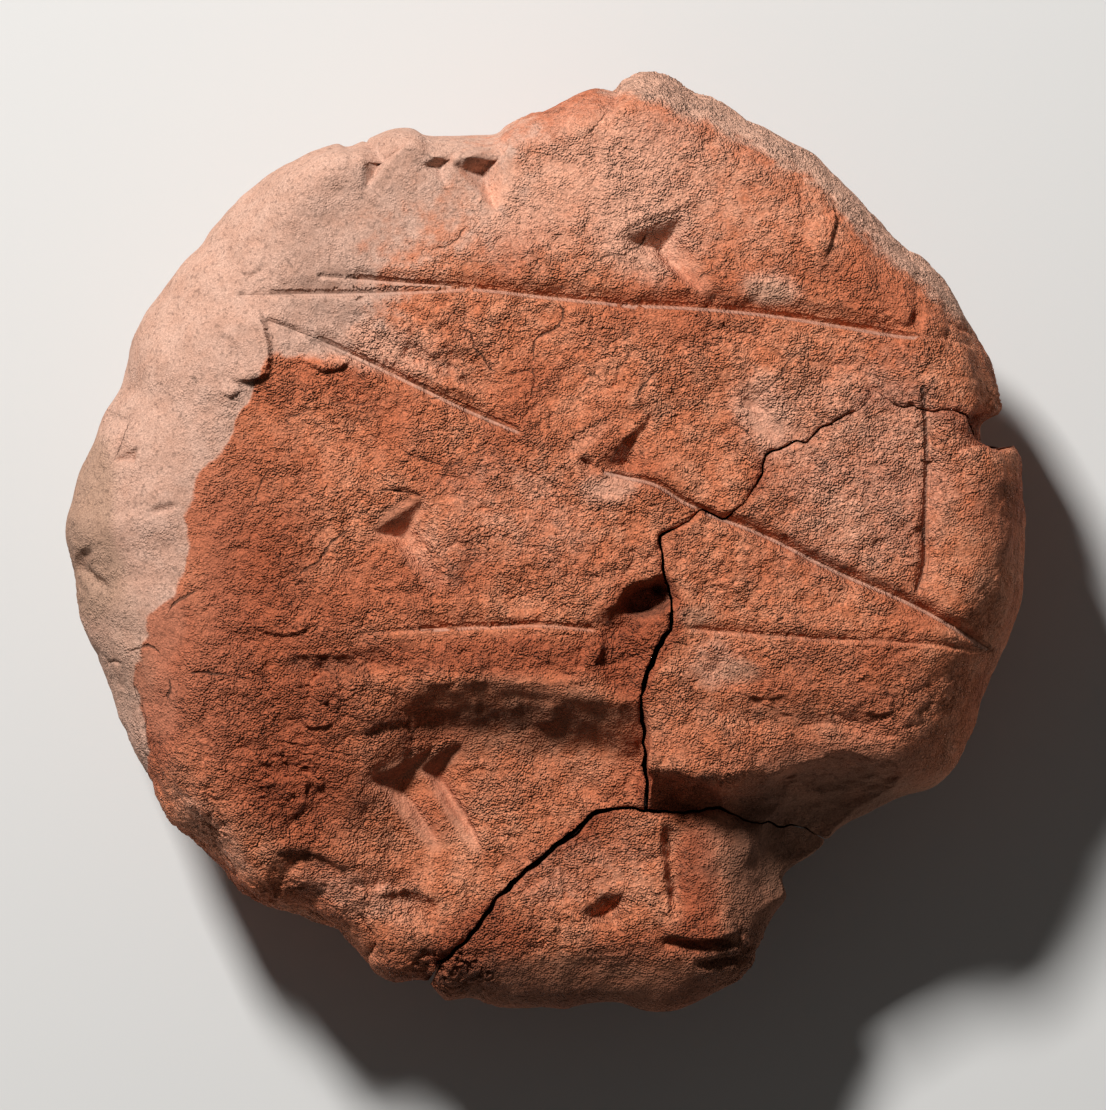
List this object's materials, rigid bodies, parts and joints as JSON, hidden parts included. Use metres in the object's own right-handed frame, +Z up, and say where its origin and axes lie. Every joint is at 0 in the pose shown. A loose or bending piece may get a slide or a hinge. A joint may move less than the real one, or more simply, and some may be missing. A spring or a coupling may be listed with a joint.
{
  "type": "cuneiform tablet",
  "caption": "Round bun-shaped clay school tablet, broken and rejoined, with a ruled triangle and stylus dents pressed into its flat face.",
  "frame": {"origin": "middle of the small flat on the domed back that the tablet lies on, at the bottom centre of its box", "axes": "+Z up, out of the writing face; +X to the right and +Y to the top of the face as it is read"},
  "size_m": [0.0802, 0.078, 0.025],
  "materials": {
    "clay": "matt unglazed clay, orange-pink with a paler slip on the left, dusty and finely granular"
  },
  "bodies": {
    "root": {"main_fragment": "clay", "right_fragment": "clay", "lower_fragment": "clay"}
  },
  "joints": []
}
